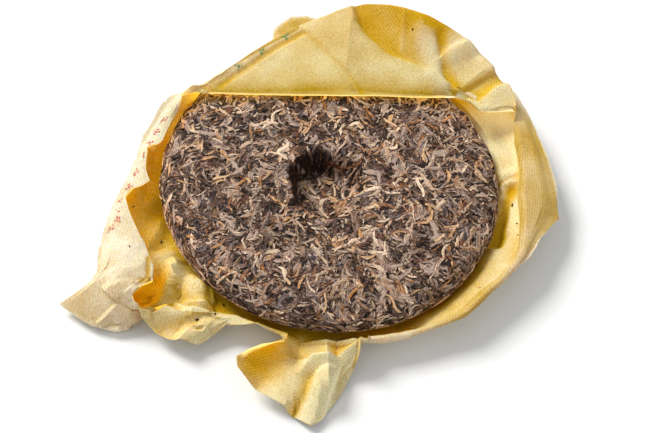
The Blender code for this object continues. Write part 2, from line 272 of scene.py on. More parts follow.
def noise_node(nodes, links, place, scale, detail, roughness=0.6):
    """Cloudy noise on a place given in mm."""
    node = nodes.new("ShaderNodeTexNoise")
    node.inputs["Scale"].default_value = scale
    node.inputs["Detail"].default_value = detail
    node.inputs["Roughness"].default_value = roughness
    links.new(place, node.inputs["Vector"])
    return node


def remap_node(nodes, links, value, low, high):
    """0 below low, 1 above high, and a smooth rise between."""
    node = nodes.new("ShaderNodeMapRange")
    node.interpolation_type = "SMOOTHSTEP"
    node.inputs["From Min"].default_value = low
    node.inputs["From Max"].default_value = high
    links.new(value, node.inputs["Value"])
    return node.outputs["Result"]


def mix_node(nodes, links, share, first, second, blend="MIX"):
    """A colour between two others, each a colour or a socket."""
    node = nodes.new("ShaderNodeMix")
    node.data_type = "RGBA"
    node.blend_type = blend
    links.new(share, node.inputs["Factor"])
    for socket, value in zip((node.inputs["A"], node.inputs["B"]), (first, second)):
        if isinstance(value, tuple):
            socket.default_value = (*value, 1.0)
        else:
            links.new(value, socket)
    return node.outputs["Result"]


def bump_node(nodes, links, shader, height, depth):
    """Relief of a depth in mm on a shader."""
    bump = nodes.new("ShaderNodeBump")
    bump.inputs["Distance"].default_value = depth * MM
    links.new(height, bump.inputs["Height"])
    links.new(bump.outputs["Normal"], shader.inputs["Normal"])


def new_group(name, inputs, outputs):
    """An empty node group: its sockets are (type, name) pairs."""
    group = bpy.data.node_groups.new(name, "ShaderNodeTree")
    for kind, label in inputs:
        group.interface.new_socket(label, in_out="INPUT", socket_type=f"NodeSocket{kind}")
    for kind, label in outputs:
        group.interface.new_socket(label, in_out="OUTPUT", socket_type=f"NodeSocket{kind}")
    return group, group.nodes.new("NodeGroupInput"), group.nodes.new("NodeGroupOutput")


# Dried leaf: dark in its creases, one of two browns in between, pale where it is rubbed, and
# lined along its length.
LEAF_STRETCH = (0.45, 1.9, 1.0)
LEAF_LEVEL = -1.19
LEAF_SHADE = 0.95
LEAF_STREAKS = 2.6
MOTTLE_SCALE = 0.45
MOTTLE_RANGE = 1.6
CREASE_TO = 0.02
BODY_AT = 0.45
RUBBED_FROM = 0.90
LEAF_RELIEF = 0.45

leaf_grain, given, result = new_group(
    "leaf_grain",
    (("Vector", "Along and across"), ("Float", "Shade"), ("Float", "Tint"), ("Color", "Crease"),
     ("Color", "Cool"), ("Color", "Warm"), ("Color", "Rubbed")),
    (("Color", "Color"), ("Float", "Height")))
nodes, links = leaf_grain.nodes, leaf_grain.links
lengthwise = mapping_node(nodes, links, given.outputs["Along and across"], LEAF_STRETCH)
streak = noise_node(nodes, links, lengthwise, 1.0, 5.0, 0.75).outputs["Fac"]
level = weighed(nodes, links, LEAF_LEVEL, (given.outputs["Shade"], LEAF_SHADE), (streak, LEAF_STREAKS))
mottle = noise_node(nodes, links, given.outputs["Along and across"], MOTTLE_SCALE, 2.0).outputs["Fac"]
tinge = weighed(nodes, links, -MOTTLE_RANGE / 2, (mottle, MOTTLE_RANGE), (given.outputs["Tint"], 1.0))
body = mix_node(nodes, links, tinge, given.outputs["Cool"], given.outputs["Warm"])
uncreased = remap_node(nodes, links, level, CREASE_TO, BODY_AT)
rubbed = remap_node(nodes, links, level, BODY_AT, RUBBED_FROM)
creased = mix_node(nodes, links, uncreased, given.outputs["Crease"], body)
links.new(mix_node(nodes, links, rubbed, creased, given.outputs["Rubbed"]), result.inputs["Color"])
links.new(streak, result.inputs["Height"])


def leaf_material(name, crease, cool, warm, rubbed, roughness):
    """A leaf finish whose place, shade and tint come from the piece or from the caller."""
    material, nodes, links, shader = new_material(name, roughness)
    shader.inputs["Specular IOR Level"].default_value = 0.22
    grain = nodes.new("ShaderNodeGroup")
    grain.node_tree = leaf_grain
    for label, colour in (("Crease", crease), ("Cool", cool), ("Warm", warm), ("Rubbed", rubbed)):
        grain.inputs[label].default_value = (*colour, 1.0)
    links.new(grain.outputs["Color"], shader.inputs["Base Color"])
    bump_node(nodes, links, shader, grain.outputs["Height"], LEAF_RELIEF)
    return material, nodes, links, grain


# The core's scraps lie in clumps, each clump turned its own way, and are longer than wide.
CLUMP_SCALE = 0.12
CLUMP_BEND = 9.0
SCRAP_STRETCH = (0.22, 0.7, 0.4)
SCRAP_EDGE = -0.55
SCRAP_RANGE = 0.6


def packed_leaf():
    """The core: flattened scraps of leaf pressed edge to edge, each lying its own way."""
    material, nodes, links, grain = leaf_material(
        "packed_leaf", (0.012, 0.004, 0.002), (0.095, 0.065, 0.055), (0.20, 0.11, 0.065),
        (0.52, 0.36, 0.25), 0.6)
    place = nodes.new("ShaderNodeTexCoord").outputs["Object"]
    sized = mapping_node(nodes, links, place, (1.0 / MM, 1.0 / MM, 1.0 / MM))
    bend = noise_node(nodes, links, sized, 0.16, 3.0)
    moved = nodes.new("ShaderNodeVectorMath")
    moved.operation = "MULTIPLY_ADD"
    moved.inputs[1].default_value = (CLUMP_BEND, CLUMP_BEND, CLUMP_BEND)
    links.new(bend.outputs["Color"], moved.inputs[0])
    links.new(sized, moved.inputs[2])
    way = cell_node(nodes, links, moved.outputs["Vector"], CLUMP_SCALE)[1]["Red"]
    turned = nodes.new("ShaderNodeVectorRotate")
    turned.rotation_type = "Z_AXIS"
    links.new(moved.outputs["Vector"], turned.inputs["Vector"])
    links.new(math_node(nodes, links, "MULTIPLY", way, math.tau), turned.inputs["Angle"])
    links.new(turned.outputs["Vector"], grain.inputs["Along and across"])
    laid = mapping_node(nodes, links, turned.outputs["Vector"], SCRAP_STRETCH)
    off, chances = cell_node(nodes, links, laid, 1.0)
    shade = weighed(nodes, links, attribute_node(nodes, "shade"), (off, SCRAP_EDGE),
                    (chances["Green"], SCRAP_RANGE))
    links.new(shade, grain.inputs["Shade"])
    links.new(chances["Blue"], grain.inputs["Tint"])
    return material


def strip_material(name, crease, cool, warm, rubbed, roughness):
    """A loose strip or flake: its own shade and tint, lined along its length."""
    material, nodes, links, grain = leaf_material(name, crease, cool, warm, rubbed, roughness)
    for label, attribute in (("Shade", "shade"), ("Tint", "tint")):
        links.new(attribute_node(nodes, attribute), grain.inputs[label])
    flat = nodes.new("ShaderNodeUVMap")
    flat.uv_map = "strip"
    links.new(flat.outputs["UV"], grain.inputs["Along and across"])
    return material


def place_piece(mesh, name, materials, replaced):
    """Make a mesh a piece of the object, which rides on its one body."""
    for material in materials:
        mesh.materials.append(material)
    piece = bpy.data.objects.new(name, mesh)
    bpy.context.scene.collection.objects.link(piece)
    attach(piece, "root")
    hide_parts(replaced)
    return piece


def finish_piece(bm, name, materials, replaced):
    """Make a bmesh in mm a piece of the object."""
    mesh = bpy.data.meshes.new(name)
    bmesh.ops.scale(bm, vec=(MM, MM, MM), verts=bm.verts)
    bm.to_mesh(mesh)
    bm.free()
    return place_piece(mesh, name, materials, replaced)


# The core's shade is kept low so that it shows dark between the strips, partly the leaf's own dark and
# partly painted shade in the gaps; it is painted darker still down the hollow's steep wall.
CORE_SHADE = 0.14
CORE_HOLLOW_PAINTED_SHADE = -0.55
core = finish_piece(bm, "cake_core", [packed_leaf()], "tea_cake")
core.data.polygons.foreach_set("use_smooth", [True] * len(core.data.polygons))
core_shade = core.data.attributes.new("shade", "FLOAT", "POINT")
core_shade.data.foreach_set(
    "value", CORE_SHADE + CORE_HOLLOW_PAINTED_SHADE * hollow_slope(flat[:, 0], flat[:, 1]))

# The loose strips: the leaves, buds and stalks that lie on the surface, each rolled and twisted
# before it was pressed flush, and the torn flakes between them. One piece for each kind.
BARE_FOOT = 62.0
LAID_OUT_REACH = path_along[-1] - BARE_FOOT
SIDE_FROM = 96.0
SIDE_WIDTH = 0.7
# The leaves flow over the top in broad bends, and each strays from the flow a little.
FLOW_TURN = 2.6
FLOW_LENGTH = 70.0
STRAY = 0.8
SIDE_STRAY = 0.4
DRIFT_WAVES = 5
DRIFT_PEAK = 2.2
# Most strips are short and narrow, and a few are long: the two powers of a beta spread.
LENGTH_SPREAD = (1.2, 2.6)
WIDTH_SPREAD = (1.3, 2.4)
SHADE_SPREAD = (1.5, 1.5)
TINT_SPREAD = (0.8, 0.8)
# A strip of this length bends by its kind's bend, a longer one by more.
BEND_LENGTH = 10.0
BEND_POWER = 1.5
STRIP_THICKNESS = 0.35
STRIP_TOP_WIDTH = 0.85
STRIP_WOBBLE = 0.20
STRIP_RAGGED = 0.07
ENDS_WIDTH = 0.25
ENDS_CUT = (1.6, 6.0)
PLEATS = (5.0, 9.0)
PLEAT_SLANT = 1.5
ROLL_FLATTENED = 0.6
# What stands higher than this on a strip is pressed down, and springs back this much at most.
PRESSED_LEVEL = 0.25
PRESSED_SPRING = 0.35
STRIP_SHARPNESS = 50
# Their shade and tint change in patches. Lower parts of each strip and the wall of the hollow are
# painted darker, and higher parts lighter: painted shade and painted light.
PATCH_SHADE = 0.22
PATCH_SHADE_LENGTH = 16.0
PATCH_TINT = 0.2
PATCH_TINT_LENGTH = 24.0
SUNK_PAINTED_SHADE = 0.35
STRIP_HOLLOW_PAINTED_SHADE = -0.7


def strip_shape(lengths, widths):
    """One straight strip from a cube: its places, and its faces."""
    bm = bmesh.new()
    bmesh.ops.create_cube(bm, size=1.0)
    for axis, parts in ((0, lengths), (1, widths)):
        ways = [edge for edge in bm.edges if abs(edge.verts[0].co[axis] - edge.verts[1].co[axis]) > 1e-3]
        if parts > 1:
            bmesh.ops.subdivide_edges(bm, edges=ways, cuts=parts - 1, use_grid_fill=True)
    bmesh.ops.recalc_face_normals(bm, faces=bm.faces)
    places = np.array([spot.co[:] for spot in bm.verts])
    faces = np.array([[spot.index for spot in face.verts] for face in bm.faces])
    bm.free()
    return places, faces


def drift(x, y, length, seed):
    """A slow change over the surface, from -1 to 1, for the way the leaves lie and their shade."""
    wave = np.random.default_rng(seed)
    turn, phase = wave.uniform(0.0, math.tau, DRIFT_WAVES), wave.uniform(0.0, math.tau, DRIFT_WAVES)
    pull = wave.uniform(0.6, 1.8, DRIFT_WAVES) * math.tau / length
    total = sum(np.sin(x * p * math.cos(t) + y * p * math.sin(t) + f) for t, p, f in zip(turn, pull, phase))
    return total / DRIFT_PEAK


def lay_strips(name, material, seed, count, length, width, rise, bend=1.0, twist=0.3, pleat=0.12,
               parts=(6, 2), tone=0.5):
    """Strips of one kind over the top and side, as one piece."""
    chance = np.random.default_rng(seed)
    shape, shape_faces = strip_shape(*parts)

    # Where each strip lies, and which way: with its neighbours on top, along the rim on the side.
    reach = LAID_OUT_REACH * np.sqrt(chance.uniform(0.0, 1.0, count))
    angle = chance.uniform(0.0, math.tau, count)
    centre_x, centre_y = reach * np.cos(angle), reach * np.sin(angle)
    flow = FLOW_TURN * drift(centre_x, centre_y, FLOW_LENGTH, seed=7)
    turn = flow + chance.normal(0.0, STRAY, count)
    on_side = reach > SIDE_FROM
    turn = np.where(on_side, angle + math.pi / 2 + chance.normal(0.0, SIDE_STRAY, count), turn)

    # Its size, its two bends, how it leans and how much more it leans towards its far end.
    long = length[0] + (length[1] - length[0]) * chance.beta(*LENGTH_SPREAD, count)
    wide = width[0] + (width[1] - width[0]) * chance.beta(*WIDTH_SPREAD, count)
    wide = np.where(on_side, wide * SIDE_WIDTH, wide)
    curve = chance.normal(0.0, bend, count) * (long / BEND_LENGTH) ** BEND_POWER
    sway = chance.normal(0.0, bend, count) * (long / BEND_LENGTH) ** BEND_POWER
    lean = chance.normal(0.0, twist, count)
    turning = chance.normal(0.0, twist * 1.3, count)
    lift = chance.uniform(*rise, count)
    start = chance.uniform(0.0, math.tau, count)

    # Its outline, with ragged borders and ends, and the pleats along it.
    along = shape[:, 0] * 2.0
    across = shape[:, 1] * np.where(shape[:, 2] > 0, STRIP_TOP_WIDTH, 1.0)
    end_cut = chance.uniform(*ENDS_CUT, count)[:, None]
    taper = ENDS_WIDTH + (1.0 - ENDS_WIDTH) * (1.0 - np.abs(along) ** end_cut) ** 0.6
    wobble = chance.normal(0.0, STRIP_WOBBLE, (count, len(along)))
    ragged = chance.normal(0.0, STRIP_RAGGED, (count, len(along)))
    local_x = long[:, None] / 2 * (along + ragged)
    side = across * taper * wide[:, None] * (1.0 + wobble)
    folds = np.sin(across * chance.uniform(*PLEATS, count)[:, None] + start[:, None]
                   + along * chance.normal(0.0, PLEAT_SLANT, count)[:, None])
    up = shape[:, 2] * STRIP_THICKNESS + pleat * wide[:, None] * folds

    # Rolled, bent, and pressed flush with the others.
    roll_angle = lean[:, None] + turning[:, None] * along
    local_y = side * np.cos(roll_angle) - up * np.sin(roll_angle)
    local_z = side * np.sin(roll_angle) * ROLL_FLATTENED + up * np.cos(roll_angle) + lift[:, None]
    local_y = local_y + curve[:, None] * (along ** 2 - 0.35) + sway[:, None] * (along ** 3 - 0.6 * along)
    over = np.maximum(local_z - PRESSED_LEVEL, 0.0)
    local_z = local_z - over + PRESSED_SPRING * (1.0 - np.exp(-over / PRESSED_SPRING))
    x = centre_x[:, None] + local_x * np.cos(turn)[:, None] - local_y * np.sin(turn)[:, None]
    y = centre_y[:, None] + local_x * np.sin(turn)[:, None] + local_y * np.cos(turn)[:, None]
    places = on_cake(x.ravel(), y.ravel(), local_z.ravel())
    faces = (shape_faces[None] + np.arange(count)[:, None, None] * len(along)).reshape(-1, 4)
    mesh = bpy.data.meshes.new(name)
    mesh.from_pydata((places * MM).tolist(), [], faces.tolist())
    mesh.polygons.foreach_set("use_smooth", [True] * len(mesh.polygons))
    mesh.set_sharp_from_angle(angle=math.radians(STRIP_SHARPNESS))

    # Its own shade and tint, and its length and width laid out flat for the streaks.
    patch = PATCH_SHADE * drift(centre_x, centre_y, PATCH_SHADE_LENGTH, seed=11)
    shade = (chance.beta(*SHADE_SPREAD, count) + patch + tone - 0.5)[:, None]
    # Painted shade and light: sunk parts darker, raised parts lighter.
    shade = shade + SUNK_PAINTED_SHADE * np.clip(local_z - 0.2, -0.8, 0.3)
    # Painted shade: darker down the steep wall of the hollow.
    shade = shade + STRIP_HOLLOW_PAINTED_SHADE * hollow_slope(x, y)
    tint = chance.beta(*TINT_SPREAD, count)
    tint = tint + PATCH_TINT * drift(centre_x, centre_y, PATCH_TINT_LENGTH, seed=19)
    for attribute, values in (("shade", shade.ravel()), ("tint", np.repeat(tint, len(along)))):
        given = mesh.attributes.new(attribute, "FLOAT", "POINT")
        given.data.foreach_set("value", np.clip(values, -0.5, 1.3))
    flat = np.stack([local_x + start[:, None] * 40.0, side + start[:, None] * 90.0], axis=2).reshape(-1, 2)
    mesh.uv_layers.new(name="strip").data.foreach_set("uv", flat[faces.ravel()].ravel())
    place_piece(mesh, name, [material], "tea_cake")


dark_leaf = strip_material("dark_leaf", (0.010, 0.003, 0.001), (0.088, 0.067, 0.070),
                           (0.22, 0.090, 0.046), (0.50, 0.36, 0.28), 0.5)
brown_leaf = strip_material("brown_leaf", (0.022, 0.009, 0.004), (0.225, 0.165, 0.135),
                            (0.40, 0.175, 0.066), (0.76, 0.55, 0.39), 0.55)
golden_bud = strip_material("golden_bud", (0.09, 0.045, 0.02), (0.66, 0.46, 0.32),
                            (0.70, 0.42, 0.21), (0.95, 0.73, 0.53), 0.6)
russet_stalk = strip_material("russet_stalk", (0.05, 0.014, 0.005), (0.34, 0.13, 0.065),
                              (0.56, 0.23, 0.055), (0.80, 0.52, 0.28), 0.55)
lay_strips("broad_leaves", dark_leaf, 41, 1800, (6, 19), (1.6, 4.4), (-0.5, 0.1), pleat=0.09,
           twist=0.12, parts=(6, 3), tone=0.52)
lay_strips("narrow_leaves", brown_leaf, 43, 1700, (6, 21), (1.0, 2.9), (-0.4, 0.12), bend=1.3,
           parts=(8, 2), tone=0.40)
lay_strips("golden_buds", golden_bud, 47, 560, (4, 18), (1.1, 3.0), (-0.35, 0.2), bend=1.4,
           parts=(8, 2), tone=0.42)
lay_strips("russet_stalks", russet_stalk, 53, 520, (4, 17), (1.0, 2.6), (-0.3, 0.3), parts=(8, 2),
           tone=0.45)
lay_strips("dark_flakes", dark_leaf, 59, 4200, (1.5, 6.5), (0.7, 2.8), (-0.35, 0.35), twist=0.5,
           parts=(2, 1))
lay_strips("brown_flakes", brown_leaf, 61, 3600, (1.5, 6.0), (0.5, 1.9), (-0.35, 0.35), twist=0.5,
           parts=(2, 1), tone=0.42)
lay_strips("pale_flakes", golden_bud, 67, 1000, (1.2, 5.0), (0.5, 1.6), (-0.3, 0.35), twist=0.5,
           parts=(2, 1), tone=0.38)

# The wrapper: a square of thin yellow laid paper, opened and left under the cake. It was folded
# by hand, so every line it bends on is a line of corners: bearing in degrees from +X, radius and
# height in mm, and where a fourth value stands, degrees by which the corner leans aside.
PAPER_THICKNESS = 0.22
PAPER_MIDDLE_RADIUS = 44.0
PAPER_FLAT_RADIUS = 84.0
FOLD_ROLL = 0.9
ROLL_SHARE = 0.3
FAR_FOLD_OFFSET = 55.1
FAR_FOLD_BEARING = 99.2
FAR_FOLD_HEIGHT = 29.8
FAR_FOLD_FROM = 44.5
FAR_FOLD_TO = 152.0
SHOULDER_RADIUS = 94.5
SHOULDER_HEIGHT = 26.6
COLUMN_STEP = 0.75

FOOT = ((-180, 94, 1.5), (180, 94, 1.5))
WALL = (
    (-180, 106, 4), (-160, 112, 3), (-146, 124, 3), (-138, 128, 3), (-131, 108, 3.5),
    (-118, 102, 4), (-108, 99.5, 6), (-100, 99.5, 4), (-86, 100, 2.5), (-76, 101.5, 5),
    (-62, 101.5, 6.5), (-50, 102.5, 9), (-43, 103, 10.5), (-33, 103.5, 12), (-20, 104, 12),
    (0, 105, 13), (20, 104.5, 15), (40, 104, 15), (60, 104.5, 13), (90, 106, 8), (125, 104, 7),
    (150, 104, 8), (180, 106, 4),
)
CREST = (
    (-180, 115.5, 12), (-174, 119, 11), (-170, 123, 10), (-161, 132, 9), (-152, 140, 8),
    (-147, 147, 7.5), (-145.3, 152, 7), (-144, 173, 6), (-140, 167, 5), (-136, 159, 4),
    (-133, 147, 4), (-130, 117, 5), (-124, 111, 9), (-118, 105, 7), (-113, 102.5, 10),
    (-106, 101.5, 9), (-102, 101.5, 9, 5), (-98, 101.5, 7, 1), (-92, 103, 3), (-87, 103, 6),
    (-84, 104, 9), (-81, 104, 6), (-76, 106, 12), (-72, 107, 12), (-62, 109, 13), (-50, 113, 15),
    (-43, 117, 18), (-33, 117, 19), (-19, 121, 20), (-9, 127, 20), (-4, 133, 18), (-1, 137, 15),
    (4, 134, 17), (10, 132, 19), (20, 131, 20), (30, 132, 20), (38, 133, 21), (46, 126, 23),
    (60, 118, 23), (75, 114, 23), (90, 112, 23), (99, 120, 21), (104, 126, 20), (108.5, 126, 20),
    (112, 121, 20), (114.4, 117, 19.5), (116, 108, 19), (118, 106, 18), (130, 104, 16),
    (142, 104, 16), (150, 105, 16), (156, 110.5, 17), (162, 111, 16), (168, 111, 15),
    (174, 113, 13), (180, 115.5, 12),
)
FOLD = (
    (-180, 112, 17), (-168, 116, 16), (-161, 128, 15), (-152, 133, 16), (-146, 142, 17),
    (-143, 153, 18), (-138, 148, 16), (-134, 143, 13), (-130, 124, 9), (-124, 118, 14),
    (-118, 108, 12), (-113, 104, 13), (-106, 103, 12), (-102, 106, 13, 5.2), (-98, 110, 10, -2),
    (-92, 114, 3), (-87, 114, 8), (-84, 114, 14), (-81, 112, 8), (-76, 108, 16), (-74, 107.5, 16.5),
    (-72, 107.5, 16), (-62, 108.5, 16.2), (-50, 112, 18.2), (-43, 115, 20.5), (-33, 115, 21.5),
    (-19, 119.5, 23), (-9, 122, 23), (1, 126, 22), (10, 124, 24), (22, 124, 25), (28.4, 127, 25),
    (30, 125.5, 26.2), (31.6, 122, 27.6), (33.4, 106, 29.6), (35, 101, 30.4), (40, 99.5, 30.3),
    (44.5, 95.4, 29.8), (152, 91.1, 29.8), (153.5, 98, 27.5), (157, 105, 23.5), (166, 107, 20),
    (180, 112, 17),
)
FLAP = (
    (-180, 110.5, 20), (-174, 110.5, 20), (-168.5, 109.5, 20.8), (-166, 119, 20.3), (-163, 122.5, 20),
    (-152, 122, 21), (-145, 131, 21), (-141, 141, 22), (-136, 142, 19), (-134, 142, 15),
    (-131.5, 134, 14), (-130, 131, 13), (-124, 127, 7), (-118, 114, 14), (-113, 105.5, 15),
    (-106, 104.5, 14), (-102, 109, 17, 5.7), (-98, 122, 16, -6.5), (-94, 128, 7, -3.5),
    (-90.5, 132, 2.5, -0.8), (-87, 133, 9), (-84, 131, 15), (-81, 122, 5), (-76, 112, 14),
    (-74, 109, 19), (-72, 105.8, 16.8), (-62, 106, 13.8), (-50, 109.5, 16), (-43, 112.5, 18.6),
    (-33, 112.5, 19.8), (-19, 118, 21.5), (-14, 118.5, 23), (3, 113, 25), (22, 117, 25),
    (28.4, 121.5, 26), (30, 121.5, 28.4), (31.6, 120.5, 31), (33.4, 112, 32.6), (35, 112, 33),
    (40, 107, 33.4), (44.5, 98, 31.8), (47, 94, 32.4), (50, 91.6, 33), (56, 90.4, 34), (62, 90.5, 34.6),
    (68, 92, 35.4), (75, 95.5, 36.8), (82, 100.5, 39), (88, 106, 42), (90.8, 109, 44),
    (92.4, 106, 42.5), (99, 92, 37.8), (110, 88, 34.4), (130, 84, 32), (150, 93, 31.3),
    (153.5, 99, 29.5), (157, 103.5, 26), (168, 104.5, 21.3), (176, 105.5, 20.6), (180, 110.5, 20),
)
EDGE = (
    (-180, 108.5, 21), (-173, 108, 21), (-168.5, 105.5, 21.5), (-167, 110, 21.5), (-166, 117, 21),
    (-164, 120.3, 21), (-160, 119.8, 21.5), (-153.9, 118.4, 22), (-146.8, 117.5, 22.5),
    (-139.5, 119.5, 22), (-136, 125, 22), (-134.5, 138, 21), (-132.5, 140, 19.5), (-131, 141, 14),
    (-126, 140, 9), (-121, 136, 14), (-117, 130, 8), (-114, 113, 13), (-106, 105, 16.5),
    (-103, 107, 18, 4), (-101.6, 112.7, 20, 5), (-100.5, 118.5, 20, -1.2), (-99, 131, 20, -7.4),
    (-97, 135.6, 19, -8), (-93.5, 141, 10, -6.3), (-90.5, 147, 2, -1.1), (-87, 152, 1.5),
    (-84, 146, 2), (-80, 132, 2), (-77, 120, 5), (-75.4, 116, 14), (-74, 109.5, 22),
    (-72.6, 105.5, 19.5), (-71, 104, 13.5), (-62, 104.5, 11.6), (-50, 107.5, 13.4),
    (-43, 110.5, 16.4), (-33, 110.5, 17.6), (-19, 117, 19.6), (-14, 116, 21), (3, 110, 21.5),
    (22, 115.5, 22), (28.4, 119, 25.5), (30, 120.5, 29.5), (31.6, 122.5, 33.5), (33.4, 125, 33.5),
    (38, 127, 33.5), (43, 127.5, 32), (51, 128, 33), (56, 127, 38), (68, 122, 46), (80, 118, 48),
    (87, 116, 47), (90.8, 113.2, 45.8), (92.4, 112.3, 44.3), (99, 107.4, 41), (105, 104.8, 38.2),
    (111, 102.2, 36), (117, 99, 34.5), (125, 95, 34.5), (135, 92, 34), (143, 92, 33),
    (151, 95, 31.4), (153.5, 100, 32), (157, 102.5, 29), (159, 101.5, 26.5), (162, 101.5, 22.5),
    (168, 101.5, 21.5), (175, 101.8, 21), (176.8, 103.5, 21), (178.4, 109.2, 21), (180, 108.5, 21),
)
# Rows of faces laid between one line and the next, from under the cake out to the free edge.
BAND_ROWS = {"middle": 1, "flat": 3, "foot": 3, "wall": 7, "crest": 9, "shoulder": 6, "fold": 9,
             "flap": 15, "edge": 16}
ROLL_ROWS = 3


def corner(line, bearing):
    """Place of a line of corners at a bearing."""
    marks = [spot[0] for spot in line]
    radius = np.interp(bearing, marks, [spot[1] for spot in line])
    height = np.interp(bearing, marks, [spot[2] for spot in line])
    lean = np.interp(bearing, marks, [(*spot, 0.0)[3] for spot in line])
    if line is FOLD and FAR_FOLD_FROM < bearing < FAR_FOLD_TO:
        radius = FAR_FOLD_OFFSET / math.cos(math.radians(bearing - FAR_FOLD_BEARING))
        height = FAR_FOLD_HEIGHT
    angle = math.radians(bearing + lean)
    return Vector((radius * math.cos(angle), radius * math.sin(angle), height))


def shoulder(crest, fold):
    """Where the sheet passes over the rim of the cake, or half way to the fold."""
    if fold.xy.length > SHOULDER_RADIUS - 1.0:
        return (crest + fold) / 2
    share = (crest.xy.length - SHOULDER_RADIUS) / (crest.xy.length - fold.xy.length)
    spot = crest.lerp(fold, share)
    spot.z = max(spot.z, SHOULDER_HEIGHT)
    return spot


def run(first, last, rows):
    """Even steps from one place to another, without the first."""
    return [first.lerp(last, step / rows) for step in range(1, rows + 1)]


def section(bearing):
    """The sheet's points at a bearing, each with the fold it lies past."""
    angle = math.radians(bearing)
    out = Vector((math.cos(angle), math.sin(angle), 0.0))
    rest = Vector((0.0, 0.0, PAPER_THICKNESS / 2))
    stops = [out * PAPER_MIDDLE_RADIUS + rest, out * PAPER_FLAT_RADIUS + rest,
             corner(FOOT, bearing), corner(WALL, bearing)]
    points = [rest.copy()]
    layers = [0]
    for stop, band in zip(stops, ("middle", "flat", "foot", "wall")):
        points += run(points[-1], stop, BAND_ROWS[band])
    bends = [corner(line, bearing) for line in (WALL, CREST, FOLD, FLAP, EDGE)]
    bends.insert(2, shoulder(bends[1], bends[2]))
    layers += [0] * (len(points) - 1)
    for number, band in enumerate(("crest", "shoulder", "fold", "flap"), start=1):
        before, here, after = bends[number - 1:number + 2]
        if band == "shoulder":
            fresh = run(points[-1], here, BAND_ROWS[band])
        else:
            room = min((before - here).length, (after - here).length)
            spread = (before - here).normalized() - (after - here).normalized()
            step = spread.normalized() * min(FOLD_ROLL, ROLL_SHARE * room)
            near, far = here + step, here - step
            fresh = run(points[-1], near, BAND_ROWS[band])
            for part in range(1, ROLL_ROWS + 1):
                share = part / ROLL_ROWS
                fresh.append(near.lerp(here, share).lerp(here.lerp(far, share), share))
        points += fresh
        layers += [(0, 1, 1, 2)[number - 1]] * len(fresh)
    fresh = run(points[-1], bends[-1], BAND_ROWS["edge"])
    return points + fresh, layers + [2] * len(fresh)


def columns():
    """Bearings of the sheet's columns: every corner of the lines, then filled in evenly."""
    marks = sorted({float(spot[0]) for line in (CREST, FOLD, FLAP, EDGE) for spot in line})
    full = []
    for here, after in zip(marks, marks[1:]):
        pieces = max(1, math.ceil((after - here) / COLUMN_STEP))
        full += [here + (after - here) * step / pieces for step in range(pieces)]
    return full + [180.0]


# The crumples: facets of two sizes, which each layer meets at another place. Each row gives the
# layers, the bearings it runs from and to, the least radius, and how far the small and the wide
# facets rise and fall there. The first row that fits a spot counts.
DROP_FROM = 100.0
CRUMPLE_FIELD = 190.0
SMALL_FACET = 7.0
WIDE_FACET = 24.0
LAYER_SHIFT_X = 13.0
LAYER_SHIFT_Y = 9.0
UNCRUMPLED_RADIUS = 90.0
CRUMPLED = (
    ((0, 1, 2), -137.0, -112.0, 112.0, 2.6, 2.2), ((0,), 150.0, 181.0, 0.0, 0.8, 3.4),
    ((0,), -181.0, -112.0, 0.0, 0.8, 3.4), ((0,), -60.0, 60.0, 0.0, 0.5, 2.4),
    ((0, 1, 2), 45.0, 152.0, 0.0, 0.13, 0.5), ((0, 1, 2), -181.0, 181.0, 0.0, 0.25, 1.1),
)


def facet_field(seed, cell):
    """A crumpled surface to drop onto: random peaks, up to 1 high, joined by flat facets."""
    chance = np.random.default_rng(seed)
    count = int((2.0 * CRUMPLE_FIELD / cell) ** 2)
    spots = chance.uniform(-CRUMPLE_FIELD, CRUMPLE_FIELD, (count, 2))
    peaks = chance.uniform(-1.0, 1.0, count)
    flat, _, faces, *_ = geometry.delaunay_2d_cdt([Vector(spot) for spot in spots], [], [], 0, 1e-4)
    return BVHTree.FromPolygons([(spot.x, spot.y, peak) for spot, peak in zip(flat, peaks)],
                                [tuple(face) for face in faces])


def drop(surface, x, y):
    """Where a thing dropped at a place lands on a surface, or None beside it."""
    return surface.ray_cast(Vector((x, y, DROP_FROM)), Vector((0.0, 0.0, -1.0)))[0]


def crumple(x, y, bearing, layer):
    """How far the paper is pushed up or down by its facets at a place."""
    radius = math.hypot(x, y)
    if layer == 0 and radius < UNCRUMPLED_RADIUS:
        return 0.0
    small, wide = next(row[4:] for row in CRUMPLED
                       if layer in row[0] and row[1] < bearing < row[2] and radius > row[3])
    small_hit = drop(small_facets, x + LAYER_SHIFT_X * layer, y)
    wide_hit = drop(wide_facets, x, y + LAYER_SHIFT_Y * layer)
    return small * (small_hit.z if small_hit else 0.0) + wide * (wide_hit.z if wide_hit else 0.0)


small_facets = facet_field(3, SMALL_FACET)
wide_facets = facet_field(5, WIDE_FACET)
